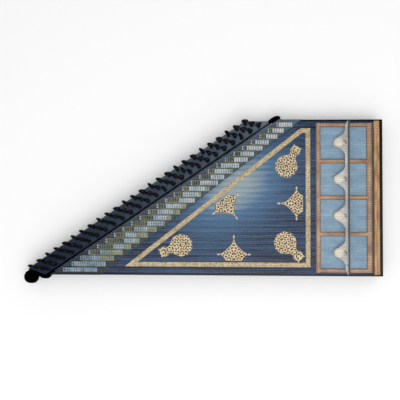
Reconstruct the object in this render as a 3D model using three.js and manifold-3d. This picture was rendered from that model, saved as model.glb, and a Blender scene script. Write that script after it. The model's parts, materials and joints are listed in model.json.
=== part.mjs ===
// A Turkish kanun: a plucked box zither with 26 courses of three strings. Millimetres, +Z up.
// X runs along the strings: the tail is at +X and the tuning pegs are at -X.
// Y runs across the strings: the long front side is at -Y and the short rear side at +Y.
// The origin is on the underside, midway along the front side's length and midway in depth.
import * as THREE from 'three';
import { mergeVertices } from 'three/addons/utils/BufferGeometryUtils.js';
import Module from 'manifold-3d';

const wasm = await Module();
wasm.setup();

// ---------- Driving dimensions ----------

const glueLine = 0.3; // gap between pieces that are glued face to face
const runningGap = 0.3; // gap round a piece that turns or rests

// Box
const frontLength = 852; // along the front side
const rearLength = 264; // along the rear side
const bodyDepth = 400;
const bodyHeight = 45;
const backThickness = 4;
const boardThickness = 3; // soundboard
const rimThickness = 9; // front and rear rims
const wallThickness = 10; // slanted wall
const tailWidth = 26.5; // solid rim at the tail

// Skins
const skinThickness = 0.6;
const windowCount = 4;
const windowLength = 117; // along X
const windowDepth = 82.4; // along Y
const windowBar = 10.7; // between two windows
const frameThickness = 2.3; // marquetry frame, over the edges of the skins
const skinBedThickness = 6.7; // frame under the skins
const skinLap = 4; // how far a skin runs under the frame
const windowLeftMargin = 11.5; // frame width on the -X side of the windows
const windowRightMargin = 13.5; // and on the +X side
const braceThickness = 10;
const braceHoleCount = 4;
const braceHoleWidth = 60;
const braceHoleHeight = 20;

// Courses and strings
const courseCount = 26;
const coursePitch = 14.9;
const stringsPerCourse = 3;
const stringStep = 4; // between two strings of one course
const stringRadius = 0.4;

// Bridge
const bridgeInset = 87; // from the tail end to the bridge's straight edge
const bridgeLength = 390;
const bridgeHeight = 19.7; // from the soles of the feet to the ridge
const ridgeWidth = 4;
const deckThickness = 3.5;
const ridgeRise = 6.2; // ridge above the deck
const deckNarrow = 10; // deck width between two feet
const deckWide = 36; // deck width over a foot
const footRadius = 12;
const footInset = 26; // from the straight edge to a foot's centre
const scallopHalf = 34; // half the length of a scallop along Y
const bridgePoint = 12; // length of the pointed ends

// String rail and knots
const railWidth = 14;
const railHeight = 8;
const railInset = 9; // from the tail end
const railMargin = 5; // from the front and rear sides
const knotWidth = 2.4;
const knotHeight = 1.4;
const knotRise = 0.9; // knots above the soundboard

// Lever bed, nut and levers
const bedThickness = 3.7;
const bedFrontWidth = 133; // along X, at the front side
const bedRearWidth = 61; // along X, at the rear side
const nutWidth = 3.5;
const nutInset = 1; // from the slanted edge
const nutHeight = 7.2;
const leverPitch = 5.9; // along X
const leverLength = 4.7; // from the pin's axis to the lever's free edge
const leverThickness = 1;
const leverSpan = 11; // along Y
const leverCount = 14; // in the lowest course
const leverStride = 3; // every third lever of the lowest course is a sub-part here
const pinRadius = 0.6;
const pinGap = 0.2;
const rackThickness = 1.2;
const rackRailThickness = 0.6;
const rackRailHeight = 2.4; // rail above the rack's plate
const rackRailGap = 0.3; // between a lever's end and the rail
const rackClearance = 1.5; // between the nut and the rack's nearest corner
const rackEnd = 1.6; // from the rack's end to the first pin

// Peg board and tuning pegs
const pegBoardTilt = THREE.MathUtils.degToRad(12); // outer edge down
const pegBoardDrop = 1; // hinge line of the tilt below the soundboard's top
const pegBoardThickness = 18;
const pegBoardWidth = 48; // from the nut line to the outer edge
const slitWidth = 8; // from the nut line to the board's inner edge
const pegLineFirst = 14.5; // from the nut line to the first line of pegs
const pegLinePitch = 13.1;
const pegRadius = 3.3;
const pegHoleSides = 6;
const pegEndRadius = 2.4; // where the string winds
const pegEndDepth = 26.5; // end of the shaft below the board's top
const windingDepth = 22; // where the string meets the shaft, below the board's top
const collarRadius = 5;
const collarHeight = 2;
const neckRadius = 2.6;
const headBottom = 9;
const headTop = 27;
const headLength = 17.6;
const headThickness = 8;
const ballRadius = 17; // scroll at the front end
const ballAlong = -50; // its centre, along the slanted side from the nut's front end
const ballOutward = 27;
const tabLength = 10; // ends of the board that reach the box
const frontCutInner = -12; // along the slanted side, where the board's front end meets its inner edge
const frontCutOuter = -43;
const rearCutInner = 24; // rear end, from the end of the slanted side
const rearCutOuter = 72;
const rearCutStep = 5; // height of the rear end above the inner edge
const riseTip = 9; // how far the rear scroll passes the end of the slanted side
const riseHeight = 12; // its crest above the tab

// Purfling
const purflingWidth = 11.5;
const purflingDepth = 1.2;
const purflingProud = 0.3;
const purflingFrontMargin = 22; // from the front and rear sides
const purflingTailMargin = 14.5; // from the skin frame
const purflingFrontLength = 476;
const purflingRearLength = 24;

// Rosettes
const rosetteThickness = 2.4;
const rosetteHoleSides = 6;
const largeLobe = 29; // radius of a corner rosette's round lobe
const smallLobe = 13;
const lobeSpread = 46; // between the centres of the two lobes
const waistWidth = 9; // half the width of the waist between them
const waistTurn = 0.5; // where the waist leaves the large lobe, in radians
const waistEnd = 0.64; // and where it meets the small one
const flatSide = 17; // an edge rosette's flat side, from its origin
const flatHalf = 20;
const sideTip = 35;
const shoulder = 20;
const spireFoot = 11; // half the width of the spire where it leaves the shoulder
const spireTip = 41;

// ---------- Places worked out from them ----------

const front = -bodyDepth / 2;
const rear = bodyDepth / 2;
const tail = frontLength / 2;
const nutFrontX = tail - frontLength;
const nutRearX = tail - rearLength;
const slantAngle = Math.atan2(bodyDepth, nutRearX - nutFrontX);
const slantLength = Math.hypot(bodyDepth, nutRearX - nutFrontX);
const rimBottom = backThickness + glueLine;
const boardBottom = bodyHeight - boardThickness;
const rimTop = boardBottom - glueLine;
const innerFront = front + rimThickness;
const innerRear = rear - rimThickness;
const skinFieldRight = tail - tailWidth;
const windowRight = skinFieldRight - windowRightMargin;
const windowLeft = windowRight - windowLength;
const skinFieldLeft = windowLeft - windowLeftMargin;
const windowPitch = windowDepth + windowBar;
const skinBottom = bodyHeight - 2;
const skinTop = skinBottom + skinThickness;
const skinBedTop = skinBottom - glueLine;
const frameBottom = skinTop + glueLine;
const bedBottom = bodyHeight + glueLine;
const bedTop = bedBottom + bedThickness;
const nutBottom = bedTop + glueLine;
const nutTop = nutBottom + nutHeight;
const nutStringZ = nutTop + runningGap + stringRadius;
const footBottom = skinTop + runningGap;
const ridgeTop = footBottom + bridgeHeight;
const ridgeX = tail - bridgeInset;
const ridgeStringZ = ridgeTop + runningGap + stringRadius;
const railRight = tail - railInset;
const railLeft = railRight - railWidth;
const pegBoardZ = bodyHeight - pegBoardDrop;
const rackBottom = bedTop + glueLine;
const rackTop = rackBottom + rackThickness;
const leverAxisZ = rackTop + runningGap + leverThickness / 2;
const rackHalfSpan = leverSpan / 2 + rackRailGap + rackRailThickness;
const leverStartX = courseLeverX(0);
const purflingRight = skinFieldLeft - purflingTailMargin;
const rearEndInner = slantLength - rearCutInner;
const rearEndOuter = slantLength - rearCutOuter;
const tabEdge = pegBoardTilt * pegBoardThickness + glueLine; // clear of the box, with the tilt

// ---------- Helpers ----------

// X of a line beside the slanted side: outward is a distance square to it, away from the box.
function slantX(y, outward) {
  return nutFrontX + (y - front) / Math.tan(slantAngle) - outward / Math.sin(slantAngle);
}

function courseY(course) {
  return (course - (courseCount - 1) / 2) * coursePitch;
}

function stringY(course, string) {
  return courseY(course) + (string - (stringsPerCourse - 1) / 2) * stringStep;
}

// X of the pegs' end of a course's rack.
function courseLeverX(course) {
  const farCorner = courseY(course) + rackHalfSpan;
  return slantX(farCorner, -nutInset - nutWidth) + rackClearance;
}

function windowY(index) {
  return (index - (windowCount - 1) / 2) * windowPitch;
}

function outline(points) {
  return new THREE.Shape(points.map(([x, y]) => new THREE.Vector2(x, y)));
}

function rectangle(left, right, bottom, top) {
  return outline([[left, bottom], [right, bottom], [right, top], [left, top]]);
}

function polygon(x, y, radius, sides, turn = 0) {
  const points = [];
  for (let side = 0; side < sides; side += 1) {
    const angle = turn + (side * 2 * Math.PI) / sides;
    points.push([x + radius * Math.cos(angle), y + radius * Math.sin(angle)]);
  }
  return outline(points);
}

function slab(shape, bottom, top) {
  const geometry = new THREE.ExtrudeGeometry(shape, {
    depth: top - bottom,
    bevelEnabled: false,
    curveSegments: 4,
  });
  geometry.translate(0, 0, bottom);
  return geometry;
}

// A shape drawn in X and Z, carried along Y from one side to the other.
function crossSlab(shape, from, to) {
  const geometry = slab(shape, 0, to - from);
  geometry.rotateX(Math.PI / 2);
  geometry.translate(0, to, 0);
  return geometry;
}

function toSolid(geometry) {
  const bare = new THREE.BufferGeometry();
  bare.setAttribute('position', geometry.getAttribute('position').clone());
  if (geometry.index) {
    bare.setIndex(geometry.index.clone());
  }
  const merged = mergeVertices(bare, 1e-3);
  return new wasm.Manifold(new wasm.Mesh({
    numProp: 3,
    vertProperties: new Float32Array(merged.getAttribute('position').array),
    triVerts: new Uint32Array(merged.index.array),
  }));
}

function toGeometry(solid) {
  const mesh = solid.getMesh();
  const geometry = new THREE.BufferGeometry();
  geometry.setAttribute('position', new THREE.BufferAttribute(mesh.vertProperties, 3));
  geometry.setIndex(new THREE.BufferAttribute(mesh.triVerts, 1));
  geometry.computeVertexNormals();
  return geometry;
}

function joined(geometries) {
  const solids = geometries.map(toSolid);
  return toGeometry(solids.reduce((whole, piece) => whole.add(piece)));
}

function cut(geometry, cutters) {
  return toGeometry(cutters.map(toSolid).reduce((rest, cutter) => rest.subtract(cutter), toSolid(geometry)));
}

function finish(color, roughness, metalness) {
  return new THREE.MeshStandardMaterial({ color, roughness, metalness });
}

const lacquer = () => finish(0x0c1020, 0.25, 0);
const bareWood = () => finish(0xb98d5c, 0.6, 0);
const ebony = () => finish(0x0b0b0c, 0.35, 0);
const silver = () => finish(0xc9cdd0, 0.3, 1);

const group = new THREE.Group();

function place(name, geometry, material, parent = group) {
  const mesh = new THREE.Mesh(geometry, material);
  mesh.name = name;
  parent.add(mesh);
  return mesh;
}

// ---------- Box ----------

function addBox() {
  const plan = outline([[nutFrontX, front], [tail, front], [tail, rear], [nutRearX, rear]]);
  place('back_board', slab(plan, 0, backThickness), bareWood());
  const frontRim = outline([
    [slantX(front, 0), front], [tail, front], [tail, innerFront], [slantX(innerFront, 0), innerFront],
  ]);
  place('front_rim', slab(frontRim, rimBottom, rimTop), lacquer());
  const rearRim = outline([
    [slantX(innerRear, 0), innerRear], [tail, innerRear], [tail, rear], [slantX(rear, 0), rear],
  ]);
  place('rear_rim', slab(rearRim, rimBottom, rimTop), lacquer());
  const nearEnd = innerFront + glueLine;
  const farEnd = innerRear - glueLine;
  place('tail_rim', slab(rectangle(skinFieldRight, tail, nearEnd, farEnd), rimBottom, rimTop), lacquer());
  const wall = outline([
    [slantX(nearEnd, 0), nearEnd], [slantX(nearEnd, -wallThickness), nearEnd],
    [slantX(farEnd, -wallThickness), farEnd], [slantX(farEnd, 0), farEnd],
  ]);
  place('slanted_wall', slab(wall, rimBottom, rimTop), lacquer());
}

// The cross brace stands under the soundboard's edge, with sound holes through it.
function addBrace() {
  const left = skinFieldLeft - braceThickness;
  const brace = rectangle(left, skinFieldLeft, innerFront + glueLine, innerRear - glueLine);
  const middle = (rimBottom + rimTop) / 2;
  const holes = [];
  for (let index = 0; index < braceHoleCount; index += 1) {
    const y = (index - (braceHoleCount - 1) / 2) * windowPitch;
    const hole = rectangle(left - 1, skinFieldLeft + 1, y - braceHoleWidth / 2, y + braceHoleWidth / 2);
    holes.push(slab(hole, middle - braceHoleHeight / 2, middle + braceHoleHeight / 2));
  }
  place('cross_brace', cut(slab(brace, rimBottom, rimTop), holes), bareWood());
}

// ---------- Rosettes ----------

// A corner rosette: a large round lobe, and a small one on its +X side, joined by a waist.
function cornerRosette(grow = 0) {
  const shape = new THREE.Shape();
  const large = largeLobe + grow;
  const small = smallLobe + grow;
  const waist = waistWidth + grow;
  const waistX = lobeSpread * 0.68;
  shape.absarc(0, 0, large, waistTurn, 2 * Math.PI - waistTurn, false);
  shape.quadraticCurveTo(waistX, -waist, lobeSpread - small * 0.8, -small * 0.6);
  shape.absarc(lobeSpread, 0, small, Math.PI + waistEnd, 3 * Math.PI - waistEnd, false);
  shape.quadraticCurveTo(waistX, waist, large * Math.cos(waistTurn), large * Math.sin(waistTurn));
  return shape;
}

// An edge rosette: a flat side on -X, two side tips, and a spire that points to +X.
function edgeRosette(grow = 0) {
  const shape = new THREE.Shape();
  const flat = -flatSide - grow;
  const tip = sideTip + grow;
  const tipFoot = sideTip - spireFoot + grow; // the curves' control points beside a side tip
  const bend = shoulder / 2;
  const spire = spireTip + grow;
  shape.moveTo(flat, -flatHalf - grow);
  shape.quadraticCurveTo(-bend, -tipFoot, 0, -tip);
  shape.quadraticCurveTo(bend + grow, -tipFoot, shoulder + grow, -spireFoot - grow);
  shape.quadraticCurveTo(shoulder + 6 + grow, -4 - grow, spire, 0);
  shape.quadraticCurveTo(shoulder + 6 + grow, 4 + grow, shoulder + grow, spireFoot + grow);
  shape.quadraticCurveTo(bend + grow, tipFoot, 0, tip);
  shape.quadraticCurveTo(-bend, tipFoot, flat, flatHalf + grow);
  shape.closePath();
  return shape;
}

// Sound holes as [x, y, radius]: a ring of six and one in the small lobe, or five in an edge rosette.
const ringRadius = 17;
const cornerHoles = [[lobeSpread, 0, 6]];
for (let step = 0; step < 6; step += 1) {
  const turn = step * Math.PI / 3;
  cornerHoles.push([ringRadius * Math.cos(turn), ringRadius * Math.sin(turn), 6]);
}
const edgeHoles = [[-6, 0, 6], [-4, 16, 6], [-4, -16, 6], [12, 7, 5], [12, -7, 5]];

// Each rosette's place is given from the purfling's tail side and the front side, its turn about Z.
const rosettes = [
  { name: 'rosette_rear_corner', inset: 61, margin: 280, turn: Math.PI * 0.333, corner: true },
  { name: 'rosette_tail_edge', inset: 35, margin: 185, turn: Math.PI, corner: false },
  { name: 'rosette_slant_edge', inset: 216, margin: 183, turn: -Math.PI * 0.288, corner: false },
  { name: 'rosette_front_left_corner', inset: 330, margin: 77, turn: Math.PI * 1.117, corner: true },
  { name: 'rosette_front_edge', inset: 195, margin: 54, turn: Math.PI / 2, corner: false },
  { name: 'rosette_tail_corner', inset: 64, margin: 84, turn: -Math.PI / 4, corner: true },
];

function rosettePlate(rosette, grow, bottom, top) {
  const shape = rosette.corner ? cornerRosette(grow) : edgeRosette(grow);
  if (grow === 0) {
    for (const [x, y, radius] of rosette.corner ? cornerHoles : edgeHoles) {
      shape.holes.push(polygon(x, y, radius, rosetteHoleSides));
    }
  }
  const geometry = slab(shape, bottom, top);
  geometry.rotateZ(rosette.turn);
  geometry.translate(purflingRight - rosette.inset, front + rosette.margin, 0);
  return geometry;
}

function addRosettes() {
  const top = bodyHeight - glueLine;
  for (const rosette of rosettes) {
    const geometry = rosettePlate(rosette, 0, top - rosetteThickness, top);
    place(rosette.name, geometry, finish(0xd9c08a, 0.5, 0));
  }
}

// ---------- Soundboard and purfling ----------

// The purfling's outline, a triangle with its sharp rear corner cut off, moved inwards by a distance.
function purflingOutline(inward) {
  const right = purflingRight - inward;
  const low = front + purflingFrontMargin + inward;
  const high = rear - purflingFrontMargin - inward;
  const slope = (purflingFrontLength - purflingRearLength) / (bodyDepth - 2 * purflingFrontMargin);
  const shift = inward * Math.hypot(1, slope);
  const start = purflingRight - purflingFrontLength + shift;
  const leftAt = (y) => start + (y - front - purflingFrontMargin) * slope;
  return [[leftAt(low), low], [right, low], [right, high], [Math.min(leftAt(high), right - 1), high]];
}

function purflingBand(clearance, bottom, top) {
  const shape = outline(purflingOutline(-clearance));
  shape.holes.push(outline(purflingOutline(purflingWidth + clearance)));
  return slab(shape, bottom, top);
}

function addSoundboard() {
  const shape = outline([[nutFrontX, front], [tail, front], [tail, rear], [nutRearX, rear]]);
  shape.holes.push(rectangle(skinFieldLeft, skinFieldRight, innerFront, innerRear));
  const cutters = rosettes.map((rosette) => (
    rosettePlate(rosette, glueLine, boardBottom - 1, bodyHeight + 1)
  ));
  cutters.push(purflingBand(glueLine, bodyHeight - purflingDepth, bodyHeight + 1));
  place('soundboard', cut(slab(shape, boardBottom, bodyHeight), cutters), lacquer());
  const stripBottom = bodyHeight - purflingDepth + glueLine;
  const strip = purflingBand(0, stripBottom, bodyHeight + purflingProud);
  place('purfling', strip, finish(0xd7c397, 0.5, 0));
}

// ---------- Skins ----------

function skinFieldFrame(bottom, top) {
  const field = rectangle(
    skinFieldLeft + glueLine, skinFieldRight - glueLine, innerFront + glueLine, innerRear - glueLine,
  );
  const windows = [];
  for (let index = 0; index < windowCount; index += 1) {
    const y = windowY(index);
    const window = rectangle(windowLeft, windowRight, y - windowDepth / 2, y + windowDepth / 2);
    windows.push(slab(window, bottom - 1, top + 1));
  }
  return cut(slab(field, bottom, top), windows);
}

function addSkins() {
  place('skin_bed', skinFieldFrame(skinBedTop - skinBedThickness, skinBedTop), bareWood());
  place('skin_frame', skinFieldFrame(frameBottom, frameBottom + frameThickness), finish(0xc89664, 0.45, 0));
  for (let index = 0; index < windowCount; index += 1) {
    const y = windowY(index);
    const shape = rectangle(
      windowLeft - skinLap, windowRight + skinLap,
      y - windowDepth / 2 - skinLap, y + windowDepth / 2 + skinLap,
    );
    place(`skin_${index + 1}`, slab(shape, skinBottom, skinTop), finish(0x86a8bf, 0.5, 0));
  }
}

// ---------- Bridge ----------

function addBridge() {
  const deckTop = ridgeTop - ridgeRise;
  const deckBottom = deckTop - deckThickness;
  const half = bridgeLength / 2;
  const deck = new THREE.Shape();
  deck.moveTo(ridgeX, -half);
  deck.lineTo(ridgeX, half);
  deck.lineTo(ridgeX - deckNarrow, half - bridgePoint);
  for (let index = windowCount - 1; index >= 0; index -= 1) {
    const y = windowY(index);
    deck.lineTo(ridgeX - deckNarrow, y + scallopHalf);
    deck.bezierCurveTo(
      ridgeX - deckNarrow, y + scallopHalf / 2, ridgeX - deckWide, y + scallopHalf / 2, ridgeX - deckWide, y,
    );
    deck.bezierCurveTo(
      ridgeX - deckWide, y - scallopHalf / 2, ridgeX - deckNarrow, y - scallopHalf / 2,
      ridgeX - deckNarrow, y - scallopHalf,
    );
  }
  deck.lineTo(ridgeX - deckNarrow, -half + bridgePoint);
  const pieces = [
    slab(deck, deckBottom, deckTop),
    slab(rectangle(ridgeX - ridgeWidth, ridgeX, -half, half), deckBottom, ridgeTop),
  ];
  for (let index = 0; index < windowCount; index += 1) {
    const foot = polygon(ridgeX - footInset, windowY(index), footRadius, 12);
    pieces.push(slab(foot, footBottom, deckTop));
  }
  place('bridge', joined(pieces), finish(0xcfc9bd, 0.5, 0));
}

// ---------- Rail, nut, lever bed and levers ----------

function addRailAndNut() {
  const rail = rectangle(railLeft, railRight, front + railMargin, rear - railMargin);
  place('string_rail', slab(rail, bedBottom, bedBottom + railHeight), finish(0xcd9f68, 0.4, 0));
  const outer = -nutInset;
  const inner = -nutInset - nutWidth;
  const nut = outline([
    [slantX(front, outer), front], [slantX(front, inner), front],
    [slantX(rear, inner), rear], [slantX(rear, outer), rear],
  ]);
  place('nut', slab(nut, nutBottom, nutTop), ebony());
  const bed = outline([
    [nutFrontX, front], [nutFrontX + bedFrontWidth, front],
    [nutRearX + bedRearWidth, rear], [nutRearX, rear],
  ]);
  place('lever_bed', slab(bed, bedBottom, bedTop), lacquer());
}

// The rack of the lowest course: a plate with a rail on each side that holds the lever pins.
function addLeverRack() {
  const left = leverStartX;
  const right = left + rackEnd + leverCount * leverPitch;
  const y = courseY(0);
  const railStart = leverSpan / 2 + rackRailGap;
  const railEnd = rackHalfSpan;
  const rail = rectangle(left, right, rackBottom, rackTop + rackRailHeight);
  for (let index = 0; index < leverCount; index += 1) {
    rail.holes.push(polygon(leverX(index), leverAxisZ, (pinRadius + pinGap) / Math.cos(Math.PI / 6), 6));
  }
  const pieces = [
    crossSlab(rectangle(left, right, rackBottom, rackTop), y - railEnd, y + railEnd),
    crossSlab(rail, y - railEnd, y - railStart),
    crossSlab(rail, y + railStart, y + railEnd),
  ];
  place('lever_rack', joined(pieces), silver());
}

function leverX(index) {
  return leverStartX + rackEnd + index * leverPitch;
}

// A lever lies flat along +X from its pin, and stands up under the strings when it is turned.
function addLever(index, name) {
  const blade = rectangle(0, leverLength, -leverThickness / 2, leverThickness / 2);
  const pin = polygon(0, 0, pinRadius, 6);
  const pieces = [
    crossSlab(blade, -leverSpan / 2, leverSpan / 2),
    crossSlab(pin, -rackHalfSpan, rackHalfSpan),
  ];
  const lever = place(name, joined(pieces), silver());
  lever.position.set(leverX(index), courseY(0), leverAxisZ);
}

// ---------- Peg board ----------

// The peg board's own axes: X along the slanted side, Y outwards and down the tilt, Z square to it.
const pegBoard = new THREE.Group();
const tilted = new THREE.Group();
pegBoard.position.set(nutFrontX, front, pegBoardZ);
pegBoard.rotation.z = slantAngle;
tilted.rotation.x = -pegBoardTilt;
pegBoard.add(tilted);
group.add(pegBoard);
group.updateMatrixWorld(true);

function fromPegBoard(along, outward, up) {
  return new THREE.Vector3(along, outward, up).applyMatrix4(tilted.matrixWorld);
}

// A string meets the side of its peg's shaft, so the peg stands beside the string's line.
function pegSeat(course, string) {
  const outward = pegLineFirst + string * pegLinePitch;
  const beside = pegEndRadius + stringRadius + runningGap;
  const y = stringY(course, string) - beside;
  const start = fromPegBoard(0, outward, -windingDepth).y;
  return { along: (y - start) / Math.sin(slantAngle), outward };
}

// The board's ends slant with the rows of pegs at the front, and with the rear side at the rear.
function addPegBoard() {
  const shape = outline([
    [frontCutInner, slitWidth], [rearEndInner, slitWidth], [rearEndInner, slitWidth + rearCutStep],
    [rearEndOuter, pegBoardWidth], [frontCutOuter, pegBoardWidth],
  ]);
  const holeRadius = (pegRadius + runningGap) / Math.cos(Math.PI / pegHoleSides);
  for (let course = 0; course < courseCount; course += 1) {
    for (let string = 0; string < stringsPerCourse; string += 1) {
      const seat = pegSeat(course, string);
      shape.holes.push(polygon(seat.along, seat.outward, holeRadius, pegHoleSides));
    }
  }
  place('peg_board', slab(shape, -pegBoardThickness, 0), lacquer(), tilted);
}

// The carved ends are glued to the board and to the box: a wave and a ball at the front,
// and a small rise at the rear.
function addScrolls() {
  const edge = slitWidth - glueLine;
  const neck = ballOutward - 13; // where the wave leaves the ball
  const ball = new THREE.Shape();
  ball.moveTo(tabLength, tabEdge);
  ball.lineTo(tabLength, edge);
  ball.lineTo(frontCutInner - glueLine, edge);
  ball.lineTo(frontCutOuter - glueLine, pegBoardWidth - 1);
  ball.absarc(ballAlong, ballOutward, ballRadius, 1.25, 2 * Math.PI - 0.55, false);
  ball.lineTo(ballAlong + 21, neck);
  ball.bezierCurveTo(ballAlong + 26, -2, frontCutInner, -4, 0, tabEdge);
  ball.closePath();
  place('front_scroll', slab(ball, -pegBoardThickness, 0), lacquer(), tilted);
  const start = rearEndInner + glueLine;
  const tabStart = slantLength - 1.5 * tabLength;
  const rise = new THREE.Shape();
  rise.moveTo(start, edge);
  rise.lineTo(tabStart, edge);
  rise.lineTo(tabStart, tabEdge);
  rise.lineTo(slantLength + riseTip, tabEdge);
  rise.bezierCurveTo(
    slantLength + riseTip - 1, tabEdge + riseHeight - 2, slantLength - riseTip + 1, tabEdge + riseHeight,
    start, slitWidth + rearCutStep,
  );
  rise.closePath();
  place('rear_scroll', slab(rise, -pegBoardThickness, 0), lacquer(), tilted);
}

function pegGeometry() {
  const profile = [
    [0, -pegEndDepth], [pegEndRadius, -pegEndDepth], [pegEndRadius, -windingDepth + 2],
    [pegRadius, -pegBoardThickness - 1], [pegRadius, runningGap], [collarRadius, runningGap],
    [collarRadius, runningGap + collarHeight], [neckRadius, runningGap + collarHeight + 1],
    [neckRadius, headBottom + 1], [0, headBottom + 1],
  ];
  const shaft = new THREE.LatheGeometry(profile.map(([x, y]) => new THREE.Vector2(x, y)), 8);
  shaft.rotateX(Math.PI / 2);
  const oval = new THREE.Shape();
  oval.absellipse(0, 0, headLength / 2, headThickness / 2, 0, 2 * Math.PI);
  return joined([shaft, slab(oval, headBottom, headTop)]);
}

// How far a peg's head is turned: each player leaves them a little different.
function headTurn(course) {
  return -slantAngle - 0.2 + 0.35 * Math.sin(course * 2.1);
}

function addPegs() {
  const outerString = stringsPerCourse - 1;
  for (let course = 0; course < courseCount; course += 1) {
    const seat = pegSeat(course, outerString);
    const name = `tuning_peg_${String(course + 1).padStart(2, '0')}`;
    const peg = place(name, pegGeometry(), ebony(), tilted);
    peg.position.set(seat.along, seat.outward, 0);
    peg.rotation.z = headTurn(course);
  }
}

// ---------- Strings ----------

// A cord of square section in an upright plane: its corners are mitred and its ends are square.
function cordOutline(points) {
  const upper = [];
  const lower = [];
  const heading = (from, to) => new THREE.Vector2(to[0] - from[0], to[1] - from[1]).normalize();
  points.forEach((point, index) => {
    const before = index > 0 ? heading(points[index - 1], point) : heading(point, points[index + 1]);
    const last = index === points.length - 1;
    const after = last ? before : heading(point, points[index + 1]);
    const middle = before.clone().add(after).normalize();
    const reach = stringRadius / middle.dot(before);
    upper.push([point[0] + middle.y * reach, point[1] - middle.x * reach]);
    lower.push([point[0] - middle.y * reach, point[1] + middle.x * reach]);
  });
  return outline([...upper, ...lower.reverse()]);
}

// A string's route: knot, bridge, nut, slit, then the side of its peg's shaft.
function stringRoute(course, string) {
  const y = stringY(course, string);
  const seat = pegSeat(course, string);
  const winding = fromPegBoard(seat.along, seat.outward, -windingDepth);
  const slit = fromPegBoard(0, slitWidth, -pegBoardThickness);
  return [
    [skinFieldRight + knotWidth / 2 + glueLine, bodyHeight + knotRise + knotHeight / 2],
    [ridgeX, ridgeStringZ],
    [slantX(y, -nutInset - nutWidth / 2), nutStringZ],
    [slantX(y, 0), nutStringZ],
    [slantX(y, 2.4), slit.z - 2],
    [winding.x, winding.z],
  ];
}

function addStrings() {
  const half = (courseCount * coursePitch) / 2;
  const knotLeft = skinFieldRight + glueLine;
  const knots = slab(
    rectangle(knotLeft, knotLeft + knotWidth, -half, half),
    bodyHeight + knotRise, bodyHeight + knotRise + knotHeight,
  );
  const pieces = [knots];
  for (let course = 0; course < courseCount; course += 1) {
    for (let string = 0; string < stringsPerCourse; string += 1) {
      const y = stringY(course, string);
      const shape = cordOutline(stringRoute(course, string));
      pieces.push(crossSlab(shape, y - stringRadius, y + stringRadius));
    }
  }
  place('strings', joined(pieces), finish(0xd8dce2, 0.3, 0.2));
}

// ---------- The whole ----------

addBox();
addBrace();
addSoundboard();
addRosettes();
addSkins();
addBridge();
addRailAndNut();
addLeverRack();
for (let index = 0, number = 1; index < leverCount; index += leverStride, number += 1) {
  addLever(index, `lever_${number}`);
}
addPegBoard();
addScrolls();
addPegs();
addStrings();

export default group;
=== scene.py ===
# %% [markdown]
# # A kanun, finished in Blender
#
# A kanun is a plucked box zither. Its box, pegs, levers and strings arrive as a CAD frame at their
# real size. This lesson gives each surface its finish, and adds what is too fine for the frame.

# %% The frame

import json

import bpy
import numpy as np
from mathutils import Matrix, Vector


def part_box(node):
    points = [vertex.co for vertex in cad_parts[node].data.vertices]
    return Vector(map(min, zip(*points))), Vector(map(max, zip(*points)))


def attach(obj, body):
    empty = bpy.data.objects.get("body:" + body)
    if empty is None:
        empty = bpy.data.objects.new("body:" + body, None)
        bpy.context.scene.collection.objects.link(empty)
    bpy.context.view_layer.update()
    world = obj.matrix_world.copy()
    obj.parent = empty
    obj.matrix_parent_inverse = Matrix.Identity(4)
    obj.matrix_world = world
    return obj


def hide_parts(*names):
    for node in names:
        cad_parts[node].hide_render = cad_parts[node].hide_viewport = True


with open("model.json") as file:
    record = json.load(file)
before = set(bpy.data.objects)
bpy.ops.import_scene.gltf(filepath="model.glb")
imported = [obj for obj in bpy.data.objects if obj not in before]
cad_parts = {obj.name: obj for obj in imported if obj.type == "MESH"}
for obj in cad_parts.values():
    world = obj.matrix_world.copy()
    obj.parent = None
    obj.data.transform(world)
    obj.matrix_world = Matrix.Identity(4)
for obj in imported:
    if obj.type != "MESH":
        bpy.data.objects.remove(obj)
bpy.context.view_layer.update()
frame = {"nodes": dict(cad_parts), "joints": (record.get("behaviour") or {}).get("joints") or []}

nodes = frame["nodes"]

# %% [markdown]
# ## The box in numbers
#
# Every place below is worked out from the frame's own pieces, so what is new follows the
# construction. The soundboard's box gives the tail end and the long sides, and two corners of the
# back board give the direction of the slanted side.

# %% Places and directions

MM = 0.001
board_low, board_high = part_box("soundboard")
tail = board_high.x
front, rear = board_low.y, board_high.y
board_top = board_high.z


def vertices_of(name):
    """The vertices of a CAD node as an array of rows."""
    mesh = nodes[name].data
    flat = np.empty(len(mesh.vertices) * 3)
    mesh.vertices.foreach_get("co", flat)
    return flat.reshape(-1, 3)


back = vertices_of("back_board")
nut_front_x = back[back[:, 1] < front + MM, 0].min()
nut_rear_x = back[back[:, 1] > rear - MM, 0].min()
slant_angle = np.arctan2(rear - front, nut_rear_x - nut_front_x)
print("slanted side at", round(np.degrees(slant_angle), 1), "degrees")

# %% [markdown]
# ## Courses
#
# The strings run in groups of three, the courses, which sound one note each. They lie side by side
# at one even step, so a course's place is a sum on its number.

# %% Places of the courses

COURSES = 26
course_pitch = 14.9 * MM


def course_y(course):
    """The middle string's place across the box; course 0 is the lowest one, at the front."""
    return (course - (COURSES - 1) / 2) * course_pitch


def slant_x(y, outward=0.0):
    """X of a line beside the slanted side, moved outwards square to it."""
    along = nut_front_x + (y - front) / np.tan(slant_angle)
    return along - outward / np.sin(slant_angle)


# %% [markdown]
# ## Helpers for meshes
#
# All new pieces are grids of points worked out with numpy, and either direction of a grid may close
# on itself. Faces are kept as arrays, so a tube, a plate or a dome needs only its formula.

# %% From grids to faces


def grid_faces(rows, columns, close_rows=False, close_columns=False):
    """Four-sided faces between neighbouring points of a grid numbered row by row."""
    r = np.arange(rows if close_rows else rows - 1)
    c = np.arange(columns if close_columns else columns - 1)
    r, c = np.meshgrid(r, c, indexing="ij")
    down, right = (r + 1) % rows, (c + 1) % columns
    corners = [r * columns + c, down * columns + c, down * columns + right, r * columns + right]
    return np.stack(corners, -1).reshape(-1, 4)


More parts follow.
